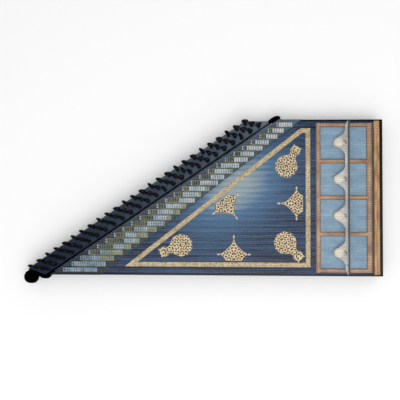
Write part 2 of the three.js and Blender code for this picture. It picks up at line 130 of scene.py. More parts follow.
def tube_faces(rows, columns):
    """A grid closed round its columns, with one many-sided face over each open end."""
    first = np.arange(columns)
    last = first[::-1] + (rows - 1) * columns
    return [grid_faces(rows, columns, close_columns=True), np.stack([first, last])]


# %% From faces to pieces


def make_piece(name, parts, material, body="body", smooth=True):
    """Joins (points, face arrays) pairs into one mesh object that rides on a body."""
    points, faces, count = [], [], 0
    for part_points, part_faces in parts:
        flat = np.asarray(part_points, float).reshape(-1, 3)
        points.append(flat)
        for block in part_faces:
            faces += (block + count).tolist()
        count += len(flat)
    mesh = bpy.data.meshes.new(name)
    mesh.from_pydata(np.concatenate(points).tolist(), [], faces)
    mesh.polygons.foreach_set("use_smooth", np.full(len(mesh.polygons), smooth))
    mesh.update()
    piece = bpy.data.objects.new(name, mesh)
    bpy.context.scene.collection.objects.link(piece)
    piece.data.materials.append(material)
    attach(piece, body)
    print(name, len(faces), "faces")
    return piece


# %% [markdown]
# ## Helpers for materials
#
# A procedural finish is arithmetic on positions. The class below wraps one socket of the node
# tree, so that a formula can be written as Python: adding two wrapped values adds a Math node.

# %% Shader arithmetic


def math(operation):
    """A method that adds one Math node for its operands."""
    settings = {"operation": operation}
    return lambda *values: values[0].finish.node("ShaderNodeMath", settings, *values)


class Value:
    """One socket with the usual operators."""

    def __init__(self, finish, socket):
        self.finish = finish
        self.socket = socket

    __add__ = __radd__ = math("ADD")
    __mul__ = __rmul__ = math("MULTIPLY")
    __sub__, __truediv__ = math("SUBTRACT"), math("DIVIDE")
    power, exponential, sine = math("POWER"), math("EXPONENT"), math("SINE")
    absolute, wrapped, above = math("ABSOLUTE"), math("FRACT"), math("GREATER_THAN")
    smallest, largest = math("MINIMUM"), math("MAXIMUM")

    def __rsub__(self, other):
        return self.finish.node("ShaderNodeMath", {"operation": "SUBTRACT"}, other, self)

    def clipped(self):
        return self.finish.node("ShaderNodeClamp", {}, self)

    def ramp(self, low, high):
        """0 below low, 1 above high, and straight between them."""
        return ((self - low) / (high - low)).clipped()

    def near(self, middle, inner, outer):
        """1 within inner of the middle, 0 beyond outer, and straight between them."""
        return 1 - (self - middle).absolute().ramp(inner, outer)


# %% [markdown]
# ## A finish
#
# Each finish is one material. What varies over the surface is fed into a socket of its shader, and
# what is the same everywhere is set on the shader itself.

# %% The class of finishes


class Finish:
    """A material whose Principled shader is fed by wrapped sockets."""

    def __init__(self, name, roughness=0.5, metallic=0.0, **constants):
        self.material = bpy.data.materials.new(name)
        self.material.use_nodes = True
        self.tree = self.material.node_tree
        self.shader = next(n for n in self.tree.nodes if n.type == "BSDF_PRINCIPLED")
        self.shader.inputs["Roughness"].default_value = roughness
        self.shader.inputs["Metallic"].default_value = metallic
        for socket, amount in constants.items():
            self.shader.inputs[socket.replace("_", " ")].default_value = amount
        self.place = self.node("ShaderNodeTexCoord", {}, output="Object")
        self.x, self.y, self.z = self.split(self.place)

    def node(self, kind, settings, *values, output=0, **named):
        """Makes a node, sets its settings, then links or sets its inputs in order and by name."""
        made = self.tree.nodes.new(kind)
        for key, setting in settings.items():
            setattr(made, key, setting)
        pairs = list(enumerate(values))
        pairs += [(key.replace("_", " "), value) for key, value in named.items()]
        for key, value in pairs:
            if isinstance(value, Value):
                self.tree.links.new(value.socket, made.inputs[key])
            else:
                made.inputs[key].default_value = value
        return Value(self, made.outputs[output])

    def split(self, vector):
        """The three parts of a vector, each wrapped."""
        outputs = self.node("ShaderNodeSeparateXYZ", {}, vector).socket.node.outputs
        return [Value(self, outputs[axis]) for axis in "XYZ"]

    def mix(self, factor, first, second):
        """A colour between two colours; each may be a wrapped socket or a tuple of three."""
        made = self.tree.nodes.new("ShaderNodeMix")
        made.data_type = "RGBA"
        factor_input, first_input, second_input, colour_output = 0, 6, 7, 2
        inputs = ((factor_input, factor), (first_input, first), (second_input, second))
        for index, value in inputs:
            if isinstance(value, Value):
                self.tree.links.new(value.socket, made.inputs[index])
            elif index == factor_input:
                made.inputs[index].default_value = value
            else:
                made.inputs[index].default_value = (*value, 1.0)
        return Value(self, made.outputs[colour_output])

    def noise(self, scale, detail=3.0, stretch=(1, 1, 1)):
        """Cloudy noise between 0 and 1; a stretch above 1 packs it closer along that axis."""
        moved = self.node("ShaderNodeMapping", {}, self.place, Scale=stretch)
        return self.node(
            "ShaderNodeTexNoise", {}, Vector=moved, Scale=scale, Detail=detail, Roughness=0.55
        )

    def feed(self, socket, value):
        self.tree.links.new(value.socket, self.shader.inputs[socket])

    def bump(self, height, distance):
        """Feeds a height into the normal; the distance is in metres."""
        normal = self.node("ShaderNodeBump", {}, Strength=1.0, Distance=distance, Height=height)
        self.feed("Normal", normal)

    def cover(self, colour, roughness, height=None, depth=0.05 * MM):
        """Feeds a colour, a roughness and a bump of a depth in metres; gives the material."""
        self.feed("Base Color", colour)
        self.feed("Roughness", roughness)
        if height is not None:
            self.bump(height, depth)
        return self.material


# %% Colours and CAD pieces


def srgb(red, green, blue):
    """A colour given as the eye reads it, 0 to 255, turned into linear light."""
    return tuple((np.array([red, green, blue]) / 255) ** 2.2)


def dress(material, *names):
    """Puts a finish on CAD nodes."""
    for name in names:
        slots = nodes[name].data.materials
        slots.clear()
        slots.append(material)
    print(material.name, "on", ", ".join(names))


# %% [markdown]
# ## Lacquer on the soundboard
#
# The box is finished in a deep blue-black lacquer. The steel blue in the middle of the soundboard
# is a painted sheen, the reflection of the light in the gloss. Here the painted sheen is an oval
# bell curve along the slanted side, exp(-(a^2 + b^2)), as a bell curve has no edge to be seen. Long
# streaks follow the grain, and every course leaves a faint band of painted shadow and reflection
# from its strings. A painted shadow also lies in the groove before the string rail.

# %% Soundboard lacquer

SHEEN_ALONG, SHEEN_LENGTH = 60 * MM, 150 * MM
SHEEN_BESIDE, SHEEN_WIDTH = -4 * MM, 95 * MM
RAIL_GAP, GROOVE_SHADOW_GAP = 9 * MM, 25 * MM
NEAR_BLACK = srgb(5, 6, 9)


def binding_and_groove_shadow(finish):
    """1 on the black binding along the board's edges and right of the string rail, and on the
    painted shadow in the groove left of the rail.
    """
    side = (finish.y - front).smallest(rear - finish.y)
    tail_gap = tail - finish.x
    rail_edge = 1 - tail_gap.ramp(RAIL_GAP - 0.4 * MM, RAIL_GAP)
    # painted shadow of the string rail: a dark line in the groove before it
    groove_shadow = tail_gap.near(GROOVE_SHADOW_GAP, 2.4 * MM, 2.8 * MM)
    return (1 - side.ramp(3.6 * MM, 4.2 * MM)).largest(rail_edge).largest(groove_shadow)


finish = Finish("lacquer_painted_sheen", roughness=0.3, Specular_IOR_Level=0.35)
along = finish.x * np.cos(slant_angle) + finish.y * np.sin(slant_angle)
beside = finish.y * np.cos(slant_angle) - finish.x * np.sin(slant_angle)
first = (along - SHEEN_ALONG) / SHEEN_LENGTH
second = (beside - SHEEN_BESIDE) / SHEEN_WIDTH
# painted sheen: a pale oval where the light reflects in the gloss, strongest in the middle
painted_sheen = ((first * first + second * second) * -1.0).exponential()
streaks = finish.noise(9.0, 4.0, stretch=(1.0, 14, 1))
# painted shadow and reflection of the strings: a faint dark and light band at each course
course = (finish.y * (2 * np.pi / course_pitch)).sine()
depth = (painted_sheen + (streaks - 0.5) * 0.45 + course * 0.07).clipped()
edge = finish.mix(streaks.ramp(0.35, 0.7), srgb(0, 20, 48), srgb(16, 56, 98))
# the painted sheen's colours: steel blue, then pale grey where the painted reflection is brightest
colour = finish.mix(depth.ramp(0.0, 0.62), edge, srgb(72, 112, 148))
colour = finish.mix(depth.ramp(0.62, 1.0), colour, srgb(156, 172, 178))
# black binding, and painted shadow in the groove before the rail
colour = finish.mix(binding_and_groove_shadow(finish), colour, NEAR_BLACK)
relief = finish.noise(60.0, 2.0, stretch=(1, 12, 1))
dress(finish.cover(colour, 0.26 + streaks * 0.12, relief, 0.04 * MM), "soundboard")

# %% [markdown]
# ## Lacquer on the lever bed and the nut
#
# The bed under the levers is lighter and greyer towards the rear, and a painted shadow lies as a
# black line along its tail edge, where it stands above the soundboard. The plain lacquers share one
# ground: a clear coat over a cloudy gloss, with a skin as fine as orange peel.

# %% Bed lacquer

bed_corners = vertices_of("lever_bed")
bed_end_front = bed_corners[bed_corners[:, 1] < front + MM, 0].max()
bed_end_rear = bed_corners[bed_corners[:, 1] > rear - MM, 0].max()


def bed_end(y):
    """X of the bed's straight tail edge at y, which may be a number or a wrapped socket."""
    share = (y - front) / (rear - front)
    return share * (bed_end_rear - bed_end_front) + bed_end_front


def lacquer_ground(name, cloud_scale=14.0, coat_roughness=0.1):
    """A finish with a thin clear coat, and the cloud of 0 to 1 that varies its gloss."""
    finish = Finish(name, roughness=0.32, Coat_Weight=0.1, Coat_Roughness=coat_roughness)
    cloud = finish.noise(cloud_scale, 4.0, stretch=(1, 6, 1))
    finish.feed("Roughness", 0.28 + cloud * 0.14)
    finish.bump(finish.noise(220.0, 2.0), 0.03 * MM)
    return finish, cloud


# Slate blue, lighter towards the rear, with a painted shadow as a black line along the tail edge.
finish, cloud = lacquer_ground("bed_lacquer")
share = (finish.y - front) / (rear - front)
rise = (share + (cloud - 0.5) * 0.6).clipped()
colour = finish.mix(rise, srgb(18, 30, 46), srgb(78, 94, 112))
# painted shadow: a black line along the bed's tail edge, where the bed stands above the soundboard
line = 1 - (bed_end(finish.y) - finish.x).ramp(2.2 * MM, 2.8 * MM)
finish.feed("Base Color", finish.mix(line, colour, srgb(5, 7, 12)))
dress(finish.material, "lever_bed", "nut")

# %% [markdown]
# ## Lacquer on the sides
#
# The rims are nearly black, and hands have rubbed them. The wear is a fine noise cut off high, so
# that only its peaks show as pale spots.

# %% Rim lacquer

finish, cloud = lacquer_ground("rim_lacquer")
colour = finish.mix(cloud.ramp(0.3, 0.7), srgb(4, 5, 9), srgb(14, 18, 26))
worn = finish.noise(160.0, 2.0).ramp(0.62, 0.75)
finish.feed("Base Color", finish.mix(worn * 0.2, colour, srgb(96, 112, 130)))
dress(finish.material, "front_rim", "rear_rim", "tail_rim", "slanted_wall")

# %% [markdown]
# ## Lacquer on the peg board
#
# The navy of the peg board is full at the front end and turns grey towards the rear. The change is
# the place along the board plus a little cloud, so that it is no even ramp.

# %% Peg board lacquer

finish, cloud = lacquer_ground("peg_board_lacquer", cloud_scale=12.0, coat_roughness=0.12)
rise = (finish.y / (rear - front) + 0.5 + (cloud - 0.5) * 0.5).clipped()
colour = finish.mix(rise, srgb(18, 38, 66), srgb(98, 114, 132))
patch = cloud.ramp(0.5, 0.8) * 0.4
finish.feed("Base Color", finish.mix(patch, colour, srgb(24, 40, 62)))
dress(finish.material, "peg_board")

# %% [markdown]
# ## Bare wood inside
#
# The skins rest on a bed of spruce, and a spruce brace crosses the box. Both stay bare. Growth
# rings are stretched noise passed through a sine, and the pores are a second noise, packed closer
# across the grain than along it.

# %% Spruce


def wood(name, light, dark, grain="x", rings=90.0, roughness=0.45, pores=0.25):
    """Growth rings and pores along one axis; a metre holds about twice the number of rings."""
    finish = Finish(name, roughness=roughness, Specular_IOR_Level=0.35)
    stretch = (1, 9, 9) if grain == "x" else (9, 1, 9)
    warp = finish.noise(7.0, 3.0, stretch=stretch)
    lane = finish.y if grain == "x" else finish.x
    ring = ((lane * rings * 12.0 + warp * 14.0).sine() * 0.5 + 0.5) * 0.7 + warp * 0.3
    pore = finish.noise(150.0, 2.0, stretch=stretch).ramp(0.5, 0.72)
    colour = finish.mix(ring.clipped(), dark, light)
    colour = finish.mix(pore * pores, colour, tuple(np.array(dark) * 0.45))
    return finish.cover(colour, roughness + pore * 0.15, pore)


bed_light, bed_dark = srgb(214, 180, 132), srgb(176, 136, 88)
dress(wood("bare_spruce", bed_light, bed_dark, rings=60, roughness=0.6), "skin_bed")
brace_light, brace_dark = srgb(208, 172, 124), srgb(170, 130, 84)
brace_spruce = wood("brace_spruce", brace_light, brace_dark, grain="y", roughness=0.6)
dress(brace_spruce, "cross_brace")

# %% [markdown]
# ## Back board
#
# The back is walnut outside. Inside it is painted nearly black, as painted shade in the closed box,
# so that nothing pale shows through the rosettes. The painted shade starts at the height of the
# inside face.

# %% Walnut

INSIDE_FACE = 3.8 * MM

finish = Finish("back_walnut", roughness=0.45, Coat_Weight=0.2, Coat_Roughness=0.2)
warp = finish.noise(7.0, 3.0, stretch=(1, 9, 9))
ring = ((finish.y * 480.0 + warp * 14.0).sine() * 0.5 + 0.5) * 0.6 + warp * 0.4
colour = finish.mix(ring.clipped(), srgb(70, 44, 26), srgb(112, 76, 48))
# painted shade: the inside of the box, above the inside face, is nearly black
inside_shade = finish.z.above(INSIDE_FACE)
colour = finish.mix(inside_shade, colour, srgb(14, 10, 8))
dress(finish.cover(colour, 0.4 + warp * 0.2, warp), "back_board")

# %% [markdown]
# ## String rail
#
# The strings are knotted through a rail of golden wood with a row of small holes, two to a course.
# A hole is a dent with painted shade as a dark dot: its distance is sqrt(a^2 + b^2), and b wraps at
# each step.

# %% Golden rail

HOLE_LINE = tail - 16 * MM
HOLE_STEP = course_pitch / 2
BLACK_EDGE = tail - 10.6 * MM

finish = Finish("rail_wood", roughness=0.4, Coat_Weight=0.2, Coat_Roughness=0.2)
cloud = finish.noise(26.0, 4.0, stretch=(5, 1, 1))
colour = finish.mix(cloud.ramp(0.3, 0.7), srgb(140, 98, 58), srgb(206, 162, 112))
across = finish.x - HOLE_LINE
along = ((finish.y / HOLE_STEP).wrapped() - 0.5) * HOLE_STEP
hole_dent_and_shade = 1 - (across * across + along * along).power(0.5).ramp(0.9 * MM, 1.4 * MM)
edge = (finish.x - BLACK_EDGE).ramp(0.0, 0.4 * MM) * 0.9
colour = finish.mix(edge, colour, srgb(10, 10, 14))
# painted shade: each hole is a dark dot
colour = finish.mix(hole_dent_and_shade * 0.85, colour, srgb(40, 26, 18))
dress(finish.cover(colour, 0.36 + cloud * 0.15, 1 - hole_dent_and_shade, 0.3 * MM), "string_rail")

# %% [markdown]
# ## Ebony
#
# The pegs are polished by turning and keep a soft line of light. The two scrolls are cut with
# gouges and only oiled, so their finish is matt, with no mirror reflection at all.

# %% Turned and carved ebony

ebony_light, ebony_dark = srgb(12, 11, 13), srgb(3, 3, 4)
ebony = wood("ebony", ebony_light, ebony_dark, rings=120, roughness=0.38, pores=0.5)

finish = Finish("carved_ebony", roughness=0.7, Specular_IOR_Level=0.0)
pore = finish.noise(150.0, 2.0, stretch=(1, 9, 9)).ramp(0.5, 0.72)
colour = finish.mix(pore, srgb(13, 12, 14), srgb(4, 4, 5))
dress(finish.cover(colour, 0.65 + pore * 0.15, pore), "front_scroll", "rear_scroll")

# %% [markdown]
# ## Purfling
#
# The purfling is a strip of tiny light and dark pieces, glued as a stick and sliced into ribbon.
# The product of two sines turned by 45 degrees changes sign from diamond to diamond, and rings of a
# cell texture add petals.

# %% Inlay

PURFLING_DIAMOND = 5.2 * MM


def diamonds(finish, size):
    """1 on every other diamond of the given size, 0 between them."""
    turn = np.pi / size
    first = ((finish.x + finish.y) * turn).sine()
    second = ((finish.x - finish.y) * turn).sine()
    return (first * second).ramp(-0.25, 0.25)


finish = Finish("purfling_inlay", roughness=0.4, Coat_Weight=0.2, Coat_Roughness=0.2)
tone = finish.noise(45.0, 3.0)
cells = finish.node("ShaderNodeTexVoronoi", {}, Vector=finish.place, Scale=150.0)
check = diamonds(finish, PURFLING_DIAMOND)
colour = finish.mix(tone.ramp(0.3, 0.7), srgb(206, 176, 122), srgb(240, 218, 170))
colour = finish.mix((1 - check) * 0.35, colour, srgb(150, 120, 80))
petal = cells.near(0.42, 0.04, 0.12)
colour = finish.mix(petal * 0.6, colour, srgb(92, 70, 44))
dress(finish.cover(colour, 0.34 + tone * 0.2, check), "purfling")

# %% [markdown]
# ## Skin frame
#
# The frame round the four skins is a wider strip of the same craft, in redder wood. A dark line
# runs round each window: it follows the larger of the distances across and along the box.

# %% Marquetry

FRAME_DIAMOND = 5.0 * MM
WINDOWS = 4
WINDOW_PITCH = 93.1 * MM
WINDOW_HALF = 41.2 * MM
frame_low, frame_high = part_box("skin_frame")
window_left = frame_low.x + 11.2 * MM
window_right = frame_high.x - 13.2 * MM

finish = Finish("frame_marquetry", roughness=0.4, Coat_Weight=0.25, Coat_Roughness=0.2)
tone = finish.noise(30.0, 3.0)
colour = finish.mix(tone.ramp(0.3, 0.7), srgb(170, 118, 76), srgb(226, 180, 132))
check = diamonds(finish, FRAME_DIAMOND)
colour = finish.mix((1 - check) * 0.5, colour, srgb(120, 80, 52))
middle_x = (window_left + window_right) / 2
across = (finish.x - middle_x).absolute() - (window_right - window_left) / 2
from_middle = ((finish.y / WINDOW_PITCH).wrapped() - 0.5).absolute() * WINDOW_PITCH
line = across.largest(from_middle - WINDOW_HALF).near(0.9 * MM, 0.6 * MM, 1.0 * MM)
outside = (frame_high.x - finish.x).smallest(finish.x - frame_low.x)
outer_line = outside.near(1.2 * MM, 0.4 * MM, 0.8 * MM)
lines = line.largest(outer_line) * 0.8
colour = finish.mix(lines, colour, srgb(74, 46, 32))
dress(finish.cover(colour, 0.34 + tone * 0.2, check), "skin_frame")

# %% [markdown]
# ## Skins
#
# Fish skin, scraped thin and glued taut, shows its scales as a fine net and reads as a cool grey
# blue over the dark box. A cell texture gives the scales, and cloudy noise the thicker patches.

# %% Fish skin

finish = Finish("fish_skin", roughness=0.5, Sheen_Weight=0.1)
patches = finish.noise(22.0, 4.0, stretch=(1, 2.5, 1))
fibres = finish.noise(420.0, 2.0, stretch=(1, 1.6, 1))
scales = finish.node(
    "ShaderNodeTexVoronoi", {"feature": "DISTANCE_TO_EDGE"}, Vector=finish.place, Scale=330.0
)
net = 1 - scales.ramp(0.02, 0.12)
colour = finish.mix(patches.ramp(0.25, 0.75), srgb(112, 146, 172), srgb(158, 190, 210))
colour = finish.mix(fibres.ramp(0.35, 0.7) * 0.35, colour, srgb(92, 124, 150))
colour = finish.mix(net * 0.18, colour, srgb(206, 220, 226))
dress(finish.cover(colour, 0.42 + patches * 0.2, scales), "skin_1", "skin_2", "skin_3", "skin_4")

# %% [markdown]
# ## Plated brass
#
# The levers and their racks are plated brass. Fresh plate is pale, bluish in the front courses and
# nearly white in the rear ones; where it is thin the brass comes through as olive. A half metallic
# shader with two tones of one colour gives them all.

# %% Metal


def plated(name, light, dark, roughness=0.3):
    finish = Finish(name, roughness=roughness, metallic=0.55)
    cloud = finish.noise(70.0, 3.0)
    colour = finish.mix(cloud.ramp(0.3, 0.7), dark, light)
    return finish.cover(colour, roughness + finish.noise(500.0, 2.0) * 0.15)


def lever_plate_metal():
    """Pale blue in the front courses and nearly white in the rear ones."""
    finish = Finish("lever_metal", roughness=0.3, metallic=0.5)
    cloud = finish.noise(70.0, 3.0)
    share = (finish.y / (rear - front) + 0.5).clipped()
    light = finish.mix(share, srgb(168, 198, 216), srgb(250, 252, 253))
    dark = finish.mix(share, srgb(108, 142, 164), srgb(206, 216, 224))
    colour = finish.mix(cloud.ramp(0.35, 0.65), dark, light)
    return finish.cover(colour, 0.28 + finish.noise(500.0, 2.0) * 0.15)


CAD_LEVERS = 5
rack_metal = plated("rack_metal", srgb(110, 112, 92), srgb(60, 64, 54), 0.4)
lever_metal = lever_plate_metal()
olive_metal = plated("olive_metal", srgb(190, 196, 160), srgb(138, 146, 118), 0.35)
dress(rack_metal, "lever_rack")
dress(lever_metal, *[f"lever_{number + 1}" for number in range(CAD_LEVERS)])

# %% [markdown]
# ## Strings
#
# The strings are clear polymer. From above they only veil the lacquer, so two thirds of what lies
# below show through.

# %% Polymer

finish = Finish("string_polymer", roughness=0.3, Alpha=0.32)
tint = finish.noise(40.0, 2.0, stretch=(0.2, 30, 1))
colour = finish.mix(tint, srgb(72, 98, 126), srgb(140, 158, 176))
dress(finish.cover(colour, 0.24 + tint * 0.12), "strings")

# %% [markdown]
# ## Tuning pegs
#
# Each string has its own peg, in three lines along the slanted side. The outer pegs turn on their
# own joints, so their places and their lean come from the frame. The other two of each course are
# drawn at the spacing that the holes have.

# %% Where the pegs stand

STRINGS = 3
string_step = 4 * MM
PEG_LINE_PITCH = 13.1 * MM
peg_joints = [joint for joint in frame["joints"] if joint["name"].startswith("turn_")]
peg_joints.sort(key=lambda joint: joint["name"])
peg_places = np.array([joint["pos_m"] for joint in peg_joints])
peg_up = np.array(peg_joints[0]["axis"], float)
peg_up *= np.sign(peg_up[2]) / np.linalg.norm(peg_up)
along_slant = np.array([np.cos(slant_angle), np.sin(slant_angle), 0.0])
peg_out = np.cross(peg_up, along_slant)
peg_tilt = np.arccos(peg_up[2])


def inner_peg_place(course, line):
    """A peg of an inner line: one step inwards per line, and beside its own string in Y."""
    steps = STRINGS - 1 - line
    inwards = -PEG_LINE_PITCH * steps
    drift = inwards * np.cos(peg_tilt) * np.cos(slant_angle)
    along = (-string_step * steps - drift) / np.sin(slant_angle)
    return peg_places[course] + along_slant * along + peg_out * inwards


print(len(peg_places), "outer pegs lean outwards by", round(np.degrees(peg_tilt), 1), "degrees")

# %% [markdown]
# ## A peg's shape
#
# A peg is turned on a lathe: a shaft, a collar and a neck, here a profile of (radius, height). Its
# head is then filed flat into a leaf for the tuning key. The head keeps the same rings, but as
# ellipses, so the round neck flows into the flat leaf.

# %% The peg's surface

PEG_SIDES = 14
HEAD_ROWS = 8
HEAD_START, HEAD_TOP, HEAD_ROUNDING = 11 * MM, 27 * MM, 0.6 * MM
peg_profile = np.array([
    [0.0, -26.5], [2.2, -26.5], [2.4, -26.2], [2.4, -20.0], [3.3, -19.0],
    [3.3, 0.3], [4.6, 0.3], [5.0, 0.8], [5.0, 1.8], [4.5, 2.3],
    [3.2, 2.6], [2.6, 3.4], [2.4, 6.0], [2.6, 8.6], [3.2, 10.0],
]) * MM


def peg_points(head_top=HEAD_TOP):
    """A turned shaft that flows into a flat leaf.

    Up the head the half width is a sine bow and the half thickness a thinner one, both on the
    height s from 0 to 1, in mm: width = 9.2 sin(pi (0.14 + 0.5 s))^0.8, thickness = 4.6 - 0.8 s^2.
    """
    turn = np.linspace(0, 2 * np.pi, PEG_SIDES, endpoint=False)
    s = np.linspace(0, 1, HEAD_ROWS)
    wide = 9.2 * MM * np.sin(np.pi * (0.14 + 0.5 * s)) ** 0.8
    thick = (4.6 - 0.8 * s * s) * MM
    rise = np.linspace(HEAD_START, head_top - HEAD_ROUNDING, HEAD_ROWS)
    half_width = np.concatenate([peg_profile[:, 0], wide, [0.0]])
    half_depth = np.concatenate([peg_profile[:, 0], thick, [0.0]])
    height = np.concatenate([peg_profile[:, 1], rise, [head_top]])
    x = half_width[:, None] * np.cos(turn)
    y = half_depth[:, None] * np.sin(turn)
    return np.stack([x, y, np.repeat(height[:, None], PEG_SIDES, 1)], -1)


outer_peg = peg_points()
peg_faces = [grid_faces(*outer_peg.shape[:2], close_columns=True)]

# %% [markdown]
# ## The outer pegs
#
# Every head was left at its own angle by the last tuning. The angle is a slow sine of the course's
# number, which looks like chance and is the same each time. Each peg takes the place of the plain
# one in the frame and rides on its body.

# %% Outer pegs


def head_turn(course):
    """How far a head is left turned: each one a little different."""
    return -slant_angle - 0.2 + 0.35 * np.sin(course * 2.1)


def turned(points, x, y, angle):
    """Turns points about Z by an angle and moves their root to x, y."""
    c, s = np.cos(angle), np.sin(angle)
    across = points[..., 0] * c - points[..., 1] * s + x
    along = points[..., 0] * s + points[..., 1] * c + y
    return np.stack([across, along, points[..., 2]], -1)


def stand(points, place, angle):
    """Turns points about the peg's own axis and stands them in the tilted board."""
    return place + turned(points, 0, 0, angle) @ np.stack([along_slant, peg_out, peg_up])


for course in range(COURSES):
    number = f"{course + 1:02d}"
    standing = stand(outer_peg, peg_places[course], head_turn(course))
    piece = make_piece(
        f"turned_peg_{number}", [(standing, peg_faces)], ebony, f"tuning_peg_{number}"
    )
    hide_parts(f"tuning_peg_{number}")

# %% [markdown]
# ## The inner pegs
#
# The inner lines stand where the tilted board is higher, so their heads are shorter and all three
# lines end at one height. They don't turn here, so all of them make one piece.

# %% Inner pegs

INNER_HEAD_TOP = 22.8 * MM
inner_peg = peg_points(INNER_HEAD_TOP)
inner_parts = []
for course in range(COURSES):
    for line in range(STRINGS - 1):
        angle = head_turn(course) + 0.3 * np.sin(course * 1.3 + line * 2.0)
        inner_parts.append((stand(inner_peg, inner_peg_place(course, line), angle), peg_faces))
make_piece("inner_pegs", inner_parts, ebony)

# %% [markdown]
# ## Lever racks
#
# Under every course lies a rack of small levers, the mandals. A rack is a brass plate with a low
# rail on each side that holds the pins. The frame brings the lowest course's rack and gives the
# height of the others. Rails this thin can be plain blocks.

# %% Where the racks lie

LEVER_PITCH = 5.9 * MM
MOST_LEVERS = 14
RACK_HALF = 6.4 * MM
RAIL_THICKNESS = 0.6 * MM
NUT_CLEARANCE = 1.5 * MM
FIRST_PIN = 1.6 * MM
rack_low, rack_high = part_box("lever_rack")
plate_top = rack_low.z + 1.2 * MM
lever_axis_z = plate_top + 0.8 * MM


def rack_start(course):
    """X of a rack's end beside the nut, whose inner face is 4.5 mm inside the slanted side."""
    return slant_x(course_y(course) + RACK_HALF, -4.5 * MM) + NUT_CLEARANCE


def lever_count(course):
    """As many levers as the bed has room for, and no more than the longest rack holds."""
    room = bed_end(course_y(course)) - rack_start(course) - 6 * MM
    return int(min(room // LEVER_PITCH, MOST_LEVERS))


print("levers in a rack:", sorted({lever_count(course) for course in range(COURSES)}))

# %% Plates and rails


def block(low, high):
    """The eight corners of a plain block, as the two rings of a four-sided tube."""
    (x0, y0, z0), (x1, y1, z1) = low, high
    ring = np.array([[x0, y0], [x1, y0], [x1, y1], [x0, y1]])
    return np.stack([np.column_stack([ring, np.full(4, z)]) for z in (z0, z1)])


block_faces = tube_faces(2, 4)
rack_parts, rail_parts = [], []
for course in range(1, COURSES):
    y, x0 = course_y(course), rack_start(course)
    x1 = x0 + FIRST_PIN + lever_count(course) * LEVER_PITCH
    plate = block((x0, y - RACK_HALF, rack_low.z), (x1, y + RACK_HALF, plate_top))
    rack_parts.append((plate, block_faces))
    for side in (-1, 1):
        inner, outer = sorted((side * (RACK_HALF - RAIL_THICKNESS), side * RACK_HALF))
        rail = block((x0, y + inner, plate_top), (x1, y + outer, rack_high.z))
        rail_parts.append((rail, block_faces))
make_piece("rack_plates", rack_parts, rack_metal, smooth=False)
rail_metal = plated("rack_rail_metal", srgb(226, 222, 186), srgb(176, 172, 136), 0.35)
make_piece("rack_rails", rail_parts, rail_metal, smooth=False)

# %% [markdown]
# ## A lever's shape
#
# A mandal is a small stamped plate on a pin. Flat, it leaves the strings alone; raised, it stands
# up under all three and shortens them by a comma or so. The blade is a tube of four rings whose
# upper side follows the stamped section.

# %% The levers' surface

LEVER_LENGTH = 4.7 * MM
LEVER_SPAN = 11 * MM
LEVER_THICKNESS = 1 * MM
LEVER_ROUNDING = 0.25 * MM


def lever_points(x, y, raised):
    """A blade with a channel down its middle: along +X when flat, and along +Z when raised."""
    across = np.array([-0.5, -0.46, -0.1, 0.0, 0.1, 0.46, 0.5]) * LEVER_SPAN
    rise = np.array([0.2, 0.5, 0.5, 0.15, 0.5, 0.5, 0.2]) * LEVER_THICKNESS
    reach = np.array([0.0, LEVER_ROUNDING, LEVER_LENGTH - LEVER_ROUNDING, LEVER_LENGTH])
    edge = np.array([0.6, 1.0, 1.0, 0.6])
    top = rise[None, :] * edge[:, None]
    length = np.repeat(reach[:, None], len(across), 1)
    width = np.repeat(across[None, :], len(reach), 0)
    upper = np.stack([length, width, top], -1)
    lower = np.stack([length, width, np.full_like(top, -0.5 * LEVER_THICKNESS)], -1)[:, ::-1]
    ring = np.concatenate([upper, lower], 1)
    if raised:
        ring = np.stack([-ring[..., 2], ring[..., 1], ring[..., 0]], -1)
    return ring + (x, y, lever_axis_z)


lever_faces = tube_faces(*lever_points(0, 0, False).shape[:2])

# %% [markdown]
# ## Rows of levers
#
# On a tuned instrument some levers stand and the rest lie flat, which gives each row its stripes.
# None stands in the lowest courses, then nearly half, and fewer towards the rear. Of the flat ones
# some are pale and the rest olive. The shares are straight lines on the course's number, with a
# sine that keeps the rows uneven.

# %% Levers of every course

cad_places = set(range(0, CAD_LEVERS * 3, 3))
lever_groups = {"pale_levers": [], "olive_levers": [], "raised_levers": []}


def lever_state(course, share):
    """Whether the lever at a share of the row's length stands, or lies pale or olive."""
    if course < 2:
        return "pale_levers"
    stands = 0.0 if course == 2 else 0.44 - 0.012 * course + 0.12 * np.sin(course * 1.7)
    pale = stands + (0.55 if course == 2 else 0.18 + 0.035 * course)
    if share < stands:
        return "raised_levers"
    return "pale_levers" if share < pale else "olive_levers"


for course in range(COURSES):
    for place in range(lever_count(course)):
        if course == 0 and place in cad_places:
            continue
        x = rack_start(course) + FIRST_PIN + place * LEVER_PITCH
        state = lever_state(course, (place + 0.5) / lever_count(course))
        points = lever_points(x, course_y(course), state == "raised_levers")
        lever_groups[state].append((points, lever_faces))
for state, parts in lever_groups.items():
    metal = lever_metal if state == "pale_levers" else olive_metal
    make_piece(state, parts, metal, smooth=False)

# %% [markdown]
# ## End plates
#
# Two bright plates hold the end of each rack down beside the dark nut, as a double row of light
# squares.

# %% The small end plates beside the nut

PLATE_SIDE = 3.2 * MM
PLATE_HALF = 2 * MM
end_metal = plated("end_plate", srgb(236, 240, 244), srgb(190, 202, 212), 0.3)
end_parts = []
for course in range(COURSES):
    x = rack_start(course) - 2.2 * MM
    for side in (-1, 1):
        y = course_y(course) + side * PLATE_SIDE
        low = (x - 2 * MM, y - PLATE_HALF, rack_low.z)
        high = (x + 1 * MM, y + PLATE_HALF, rack_low.z + 3 * MM)
        end_parts.append((block(low, high), block_faces))
make_piece("rack_ends", end_parts, end_metal, smooth=False)

